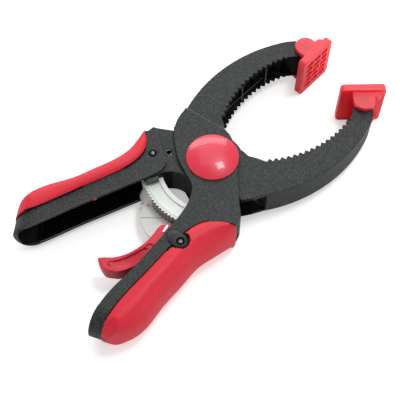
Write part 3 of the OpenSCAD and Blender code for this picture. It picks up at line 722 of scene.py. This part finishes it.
# ------------------------------------------------------------------ pieces
class CLAMP_OT_arms(bpy.types.Operator):
    """Round the edges of both jaw arms, of the handle shell and of the bar's guide"""

    bl_idname = "clamp.arms"
    bl_label = "Jaw arms and handle shell"

    def execute(self, context):
        edge = context.scene.clamp_edges.nylon_edge
        for node, levels, shape, highlit_rims in (
            ("fixed_arm", (HUB, CHEEK), self.level_tongue, self.on_hub_step),
            ("moving_arm", (HUB,), None, None),
            ("handle_shell", (CHEEK, -(HUB + CHEEK_GAP)), None, self.on_trough_rim),
        ):
            refine(node, node + "_moulding", "Grained nylon", edge, levels,
                   shape=shape, highlit_rims=highlit_rims)
        # The guide block wears the lighter copy of the nylon: painted light.
        remould("bar_guide", "bar_guide_block", "Guide nylon", grid=0.0002, passes=4)
        self.rib_highlight_lines("fixed_arm", 1)
        self.rib_highlight_lines("moving_arm", -1)
        return {"FINISHED"}

    def level_tongue(self, arm):
        """Lets the tongue that carries the trigger's pin rise gently out of the cheek."""
        towards_cheek = Vector((-0.196, 0.981))
        foot, slope = 1.5, 3.5  # where the slope starts, from the pin, and how long it is
        for v in arm.data.vertices:
            here = from_pivot(v.co)
            if abs(here.z) > CHEEK + 0.05:
                reach = (here.xy - TRIGGER_PIN.xy).dot(towards_cheek)
                drop = (abs(here.z) - CHEEK - 0.02) * share_of(reach - foot, slope)
                v.co.z -= math.copysign(drop, here.z) * MM

    def on_trough_rim(self, face):
        """Whether a rounded rim of the handle shell is an outer one or borders its trough's mouth, and
        so gets the painted highlight.
        """
        outer = abs(from_pivot(face.center).z) > 11
        return abs(face.normal.z) < 0.9 and (outer or face.normal.y < -0.2)

    def on_hub_step(self, face):
        """Whether a rounded rim runs along the step between hub and jaw, where light catches it."""
        here = from_pivot(face.center)
        step_ends = Vector((9.6, 36.2)), Vector((17.4, 10.4))
        near = distance_to(here.xy, *step_ends) < 0.7
        return abs(here.z) > 11.6 and near and abs(face.normal.z) < 0.99

    def rib_highlight_lines(self, node, side):
        """Thin lighter lines along the edges of the ribs that show in a jaw's channel: painted
        highlights.
        """
        rib_half, post_half = 7.2, 7.4
        ribs = (
            ((35, 29.6), (45.6, 31.1), (56.3, 32.5), (68, 34.2)),
            ((79.4, 33), (86.2, 30.8)),
        )
        # The rib lines are thin tubes in a lighter finish: painted highlights on the rib edges.
        look = ("Worn nylon edge", "black_nylon", body_of(node))
        for height, end in ((-rib_half, "low"), (rib_half, "high")):
            for k, rib in enumerate(ribs):
                line = [at(x, y * side, height) for x, y in rib]
                tube("%s_rib_line_%d_%s" % (node, k, end), line, 0.0003, *look)
        for x, y in ((46.9, 29.3), (66, 30)):
            post = [at(x, y * side, z) for z in (-post_half, post_half)]
            tube("%s_rib_post_%d" % (node, x), post, 0.00035, *look)


class CLAMP_OT_grips(bpy.types.Operator):
    """Smooth the two soft grips and paint the shadow in the joint where each meets the nylon"""

    bl_idname = "clamp.grips"
    bl_label = "Soft grips"

    def execute(self, context):
        for node in ("fixed_grip", "handle_grip"):
            grip = remould(node, node + "_overmould", "Soft grip rubber",
                           grid=0.00045, passes=18)
            if node == "fixed_grip":
                # The pocket's walls get the near-black finish: painted shade.
                dress(grip, "Joint shadow", self.in_pocket)
            self.joint_shadow_line(node)
        return {"FINISHED"}

    def in_pocket(self, face):
        """Whether a face is in the wall of the grip's pocket for the tongue, which gets painted shade.
        """
        here = from_pivot(face.center)
        near = (here.xy - Vector((-46.4, -27))).length < 9
        return near and abs(here.z) > CHEEK + 0.05 and abs(face.normal.z) < 0.85

    def joint_shadow_line(self, node):
        """Dark line in the groove where the grip's upper edge meets the nylon: a painted shadow of the
        groove.
        """
        piece = copy_of(node, node + "_joint")
        half_depth = reach_of(node)
        mesh = piece.data
        normals = {}
        for f in mesh.polygons:
            for key in f.edge_keys:
                normals.setdefault(key, []).append(f.normal.copy())

        def runs_along_groove(key):
            sides = normals[key]
            rises = [abs(from_pivot(mesh.vertices[i].co).z) for i in key]
            top = all(CHEEK + 0.17 < rise < half_depth - 0.25 for rise in rises)
            sharp = len(sides) == 2 and sides[0].dot(sides[1]) < 0.6
            return top and sharp and max(abs(n.z) for n in sides) > 0.4

        kept = {key for key in normals if runs_along_groove(key)}
        edit(piece, "FACE")
        bpy.ops.mesh.select_all(action="SELECT")
        bpy.ops.mesh.delete(type="ONLY_FACE")
        bpy.ops.mesh.select_mode(type="EDGE")
        pick(piece, edges=lambda e: tuple(sorted(e.vertices)) not in kept)
        bpy.ops.mesh.delete(type="EDGE")
        bpy.ops.object.mode_set(mode="OBJECT")
        # The black line is painted shadow along the groove.
        round_line(piece, body_of(node), 0.00024, "Joint shadow", caps=False)


class CLAMP_OT_caps(bpy.types.Operator):
    """Turn the front dome and the flatter rear cap"""

    bl_idname = "clamp.caps"
    bl_label = "Pivot caps"

    def dome(self, node, side):
        """A cap cut from a ball that has its node's radius and rise, on a short upright rim."""
        low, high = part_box(node)
        middle = (low + high) / 2
        radius, rim = (high.x - low.x) / 2, 0.0012
        rise = (high.z - low.z) - rim
        ball = (radius * radius + rise * rise) / (2 * rise)
        base = low.z + rim if side > 0 else high.z - rim
        bpy.ops.mesh.primitive_uv_sphere_add(
            segments=96, ring_count=180, radius=ball,
            location=(middle.x, middle.y, base + side * (rise - ball)),
        )
        piece = made(node + "_dome")
        edit(piece, "VERT")
        bpy.ops.mesh.select_all(action="SELECT")
        bpy.ops.mesh.bisect(plane_co=(0, 0, base), plane_no=(0, 0, side), clear_inner=True)
        pick(piece, points=lambda p: abs(p.z - base) < 1e-6)
        bpy.ops.mesh.extrude_region_move(TRANSFORM_OT_translate={"value": (0, 0, -side * rim)})
        bpy.ops.mesh.edge_face_add()
        bpy.ops.object.mode_set(mode="OBJECT")
        outward(piece)
        modify(piece, "BEVEL", width=0.0005, segments=4, limit_method="ANGLE",
               angle_limit=FINE_EDGE, use_clamp_overlap=False)
        smooth(piece, 50)
        stand_for(piece, node, "Glossy cap")

    def execute(self, context):
        self.dome("front_cap", 1)
        self.dome("rear_cap", -1)
        return {"FINISHED"}


class CLAMP_OT_pads(bpy.types.Operator):
    """Round the edges of both swivel pads"""

    bl_idname = "clamp.pads"
    bl_label = "Swivel pads"

    def execute(self, context):
        for node in ("fixed_pad", "moving_pad"):
            remould(node, node + "_moulding", "Pad plastic", grid=0.00021, passes=3)
        return {"FINISHED"}


class CLAMP_OT_ratchet(bpy.types.Operator):
    """Round the ratchet bar and the pawl, and slim the trigger's lever"""

    bl_idname = "clamp.ratchet"
    bl_label = "Ratchet bar and trigger"

    def execute(self, context):
        edges = context.scene.clamp_edges
        bar_top = from_pivot(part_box("ratchet_bar")[1]).z
        refine("ratchet_bar", "ratchet_bar_moulding", "Bar plastic", edges.bar_edge,
               (bar_top,), steps=2)
        self.slim(remould("trigger", "trigger_lever", "Lever plastic",
                          grid=0.0003, passes=7))
        self.groove_shadow_line("front", 1)
        self.groove_shadow_line("back", -1)
        refine("pawl", "pawl_insert", "Drawn steel", edges.pin_edge, (reach_of("pawl"),))
        return {"FINISHED"}

    def groove_shadow_line(self, end, side):
        """Thin dark line sunk in the lever's broad face, which hooks round at the finger end: painted
        shadow of the panel groove's wall.
        """
        height = side * (reach_of("trigger") - 0.05)
        path = [self.slimmed(at(x, y, height), False) for x, y in (
            (-81.96, -15.9), (-82.6, -14.4), (-81.75, -13.4), (-80.4, -13.8), (-77.4, -15.5),
            (-73, -17), (-69.3, -17.8), (-65.1, -18.1), (-61.4, -18.9), (-60, -20.2),
        )]
        tube("lever_panel_line_" + end, path, 0.0003, "Panel line", "lever_red", "trigger_body")

    def slimmed(self, point, narrow=True):
        """Where a point of the lever comes to lie: nearer mid height, and nearer the finger's edge."""
        here = from_pivot(point)
        start, slope = -60, 16  # where the lever gets slimmer, and over what length
        bend, tip = -72, 12  # where its finger's edge turns aside, and how long the tip is
        thinner, narrower = 0.4, 0.27
        along, across = 1.16, 1.4
        share = share_of(start - here.x, slope)
        share = share * share * (3 - 2 * share)
        if narrow:
            finger_edge = 8 * share_of(bend - here.x, tip) ** 2 - 15.6
            here.y += max(0.0, finger_edge - here.y) * narrower * share
        here.z *= 1 - thinner * share
        here.x += along * share
        here.y += across * share
        return at(*here)

    def slim(self, lever):
        """Thins and narrows the lever towards its tip, and rounds the tip."""
        for v in lever.data.vertices:
            v.co = self.slimmed(v.co)
        edit(lever, "VERT")
        pick(lever, points=lambda p: from_pivot(p).x < -81)
        bpy.ops.mesh.vertices_smooth(factor=0.5, repeat=40)
        bpy.ops.object.mode_set(mode="OBJECT")


class CLAMP_OT_trim(bpy.types.Operator):
    """Add the dark rings of painted shade round trigger pin and rivet, the grip's vent and the pawl's
    tab
    """

    bl_idname = "clamp.trim"
    bl_label = "Small trim"

    def execute(self, context):
        rivet = from_pivot(centre_of("handle_rivet"))
        for side, end in ((1, "front"), (-1, "back")):
            # The dark rings are painted shade round the pin ends.
            self.ring("trigger_pin_ring_" + end, TRIGGER_PIN, side * reach_of("trigger_pin"),
                      "fixed_arm_body", inner=0.0011, height=side * 0.00036, edge=0.00004)
            self.ring("rivet_ring_" + end, rivet, side * (CHEEK - 0.01),
                      "moving_arm_body", inner=0.0012, height=side * 0.00006, edge=0.00002)
        self.vent()
        self.tab()
        return {"FINISHED"}

    def ring(self, name, centre, level, body, inner, height, edge):
        """Dark ring of painted shade round a pin's end, from a level in millimetres."""
        washer(name, at(centre.x, centre.y, level), 0.0024, inner, height, edge,
               "Joint shadow", body)

    def vent(self):
        """Red dot of grip rubber that shows at the edge of the handle's cheek."""
        dot = washer("grip_vent", (0, 0, 0), 0.0013, 0, 0.0005, 0.0002,
                     "Soft grip rubber", "moving_arm_body")
        turn(dot, 90, "X")
        turn(dot, 13, "Z")
        shift(dot, at(-65.1, 20.4, 10.4))

    def tab(self):
        """End of the pawl plate, beside the lever's horn, in a much lighter steel: a painted highlight.
        """
        bpy.ops.mesh.primitive_cube_add(size=1, location=(0, 0, 0), scale=(0.0048, 0.0013, 0.0009))
        tab = made("pawl_tab")
        turn(tab, -18, "Z")
        shift(tab, at(-46.2, -17.0, 8.6))
        modify(tab, "BEVEL", width=0.0003, segments=4)
        even_shade(tab)
        add_to(tab, "trigger_body", "Bright steel")


class CLAMP_OT_pins(bpy.types.Operator):
    """Round the ends of bolt, bush, washers, rivet and pins"""

    bl_idname = "clamp.pins"
    bl_label = "Bolt, rivet and pins"

    def narrow_head(self, rivet):
        """Draws the rivet's two ends in, so that each stands as a small stud in its bore."""
        edit(rivet, "VERT")
        pick(rivet, points=lambda p: abs(from_pivot(p).z) > CHEEK + 0.01)
        bpy.ops.transform.resize(value=(0.5, 0.5, 1), center_override=centre_of("handle_rivet"))
        bpy.ops.object.mode_set(mode="OBJECT")

    def execute(self, context):
        edge = context.scene.clamp_edges.pin_edge
        for node in (
            "pivot_bolt", "pivot_nut", "pivot_bush", "handle_rivet", "bar_pin", "trigger_pin",
            "fixed_pad_pin", "moving_pad_pin", "pawl_pin", "pivot_washers",
        ):
            width = 0.00003 if node == "pivot_washers" else edge
            refine(node, node + "_turned", "Drawn steel", width, (reach_of(node),), steps=2,
                   shape=self.narrow_head if node == "handle_rivet" else None)
        return {"FINISHED"}


class CLAMP_OT_springs(bpy.types.Operator):
    """Wind the jaw spring and the trigger spring from round wire"""

    bl_idname = "clamp.springs"
    bl_label = "Springs"

    def wind(self, node, centre, radius, wire, pitch, turns, start):
        """A round wire wound up a screw about an upright axis, centred on the given point."""
        steps = 40 * turns
        bpy.ops.mesh.primitive_circle_add(
            vertices=12, radius=wire / 2, fill_type="NOTHING", rotation=(math.pi / 2, 0, 0),
            location=(radius, 0, -pitch * turns / 2),
        )
        piece = made(node + "_wire")
        turn(piece, -start, "Z")
        modify(piece, "SCREW", angle=math.tau * turns, screw_offset=pitch * turns, steps=steps,
               render_steps=steps, axis="Z")
        edit(piece, "EDGE")
        bpy.ops.mesh.select_non_manifold()
        bpy.ops.mesh.edge_face_add()
        bpy.ops.object.mode_set(mode="OBJECT")
        shift(piece, centre)
        outward(piece)
        smooth(piece, 50)
        stand_for(piece, node, "Drawn steel")

    def execute(self, context):
        self.wind("jaw_spring", PIVOT, radius=0.0086, wire=0.0016, pitch=0.0021, turns=5, start=60)
        self.wind("trigger_spring", centre_of("trigger_spring"), radius=0.0023, wire=0.0007,
                  pitch=0.00105, turns=4, start=0)
        return {"FINISHED"}


class CLAMP_OT_stage(bpy.types.Operator):
    """Lay the floor and set the camera, the lamps and the even light"""

    bl_idname = "clamp.stage"
    bl_label = "Stage"

    def execute(self, context):
        scene = context.scene
        view = scene.clamp_view
        deselect()
        self.camera(scene, view)
        self.floor(tuple(scene.clamp_colours.floor), view.floor_glow)
        # To the right and away as the camera sees them, along the floor.
        right, away, up = Vector((0.777, -0.629, 0)), Vector((0.629, 0.777, 0)), Vector((0, 0, 1))
        for name, stand, width, height in (
            ("key", right * 0.25 + away * 0.12 + up * 0.95, 0.22, 0.22),
            ("back", away * 0.85 - right * 0.1 + up * 0.42, 0.9, 0.3),
            ("wash", away * 0.5 + up * 0.9, 0.8, 0.8),
            ("side", right * 0.85 - away * 0.4 + up * 0.35, 0.5, 0.3),
        ):
            self.lamp(name, stand, width, height, getattr(view, name))
        self.even_light(scene, view.sky)
        scene.view_settings.view_transform = "Standard"
        return {"FINISHED"}

    def camera(self, scene, view):
        offset = Vector(view.eye)
        bpy.ops.object.camera_add(location=Vector(view.target) + offset)
        camera = bpy.context.object
        camera.rotation_euler = (-offset).to_track_quat("-Z", "Y").to_euler()
        camera.data.lens = view.lens
        camera.data.clip_start, camera.data.clip_end = 0.01, 20
        scene.camera = camera

    def floor(self, colour, shown_whiter):
        """A pale floor that the camera sees a little whiter than it is lit."""
        bpy.ops.mesh.primitive_grid_add(
            x_subdivisions=8, y_subdivisions=8, size=6, location=(0, 0, -0.00002),
        )
        floor = bpy.context.object
        floor.name = "floor"
        tree, skin = new_finish("Pale floor")
        skin.inputs["Base Color"].default_value = (*colour, 1)
        skin.inputs["Roughness"].default_value = 0.7
        skin.inputs["Specular IOR Level"].default_value = 0.15
        skin.inputs["Emission Color"].default_value = (1, 1, 1, 1)
        seen = place(tree, "LightPath", -600, -300)
        glow = operate(tree, "MULTIPLY", -300, -300)
        glow.inputs[1].default_value = shown_whiter
        tree.links.new(seen.outputs["Is Camera Ray"], glow.inputs[0])
        tree.links.new(glow.outputs["Value"], skin.inputs["Emission Strength"])
        wear(floor, "Pale floor")

    def lamp(self, name, stand, width, height, power):
        """A rectangular softbox that looks at the middle of the floor."""
        bpy.ops.object.light_add(type="AREA", location=stand)
        lamp = bpy.context.object
        lamp.name = name
        lamp.data.shape = "RECTANGLE"
        lamp.data.size, lamp.data.size_y = width, height
        lamp.data.energy = power
        lamp.rotation_euler = (-stand).to_track_quat("-Z", "Y").to_euler()

    def even_light(self, scene, strength):
        """Light from all round, behind which the camera and glossy plastic see plain white."""
        world = bpy.data.worlds.new("Even light")
        scene.world = world
        world.use_nodes = True
        tree = world.node_tree
        sky = tree.nodes["Background"]
        sky.inputs["Color"].default_value = (1, 1, 1, 1)
        paths = place(tree, "LightPath", -700, 0)
        white = operate(tree, "MAXIMUM", -480, 0)
        level = place(tree, "Mix", -260, 0, A=strength, B=1.0)
        tree.links.new(paths.outputs["Is Camera Ray"], white.inputs[0])
        tree.links.new(paths.outputs["Is Glossy Ray"], white.inputs[1])
        tree.links.new(white.outputs["Value"], level.inputs["Factor"])
        tree.links.new(level.outputs["Result"], sky.inputs["Strength"])


# ------------------------------------------------------------------ panel and registration
STEPS = (
    CLAMP_OT_finishes, CLAMP_OT_arms, CLAMP_OT_grips, CLAMP_OT_caps, CLAMP_OT_pads,
    CLAMP_OT_ratchet, CLAMP_OT_pins, CLAMP_OT_springs, CLAMP_OT_trim, CLAMP_OT_stage,
)


class CLAMP_PT_looks(bpy.types.Panel):
    """Lists the clamp's finishes, sizes and building steps"""

    bl_idname = "CLAMP_PT_looks"
    bl_label = "Spring clamp"
    bl_space_type = "VIEW_3D"
    bl_region_type = "UI"
    bl_category = "Clamp"

    def draw(self, context):
        column = self.layout.column()
        for group in (context.scene.clamp_colours, context.scene.clamp_edges, context.scene.clamp_view):
            for name in group.__annotations__:
                column.prop(group, name)
        for step in STEPS:
            column.operator(step.bl_idname)


CLASSES = (ClampColours, ClampEdges, ClampView, *STEPS, CLAMP_PT_looks)


def register():
    for cls in CLASSES:
        bpy.utils.register_class(cls)
    bpy.types.Scene.clamp_colours = bpy.props.PointerProperty(type=ClampColours)
    bpy.types.Scene.clamp_edges = bpy.props.PointerProperty(type=ClampEdges)
    bpy.types.Scene.clamp_view = bpy.props.PointerProperty(type=ClampView)


def unregister():
    del bpy.types.Scene.clamp_view
    del bpy.types.Scene.clamp_edges
    del bpy.types.Scene.clamp_colours
    for cls in reversed(CLASSES):
        bpy.utils.unregister_class(cls)


def main():
    register()
    deselect()
    bpy.ops.clamp.finishes()
    bpy.ops.clamp.arms()
    bpy.ops.clamp.grips()
    bpy.ops.clamp.caps()
    bpy.ops.clamp.pads()
    bpy.ops.clamp.ratchet()
    bpy.ops.clamp.pins()
    bpy.ops.clamp.springs()
    bpy.ops.clamp.trim()
    bpy.ops.clamp.stage()


if __name__ == "__main__":
    main()
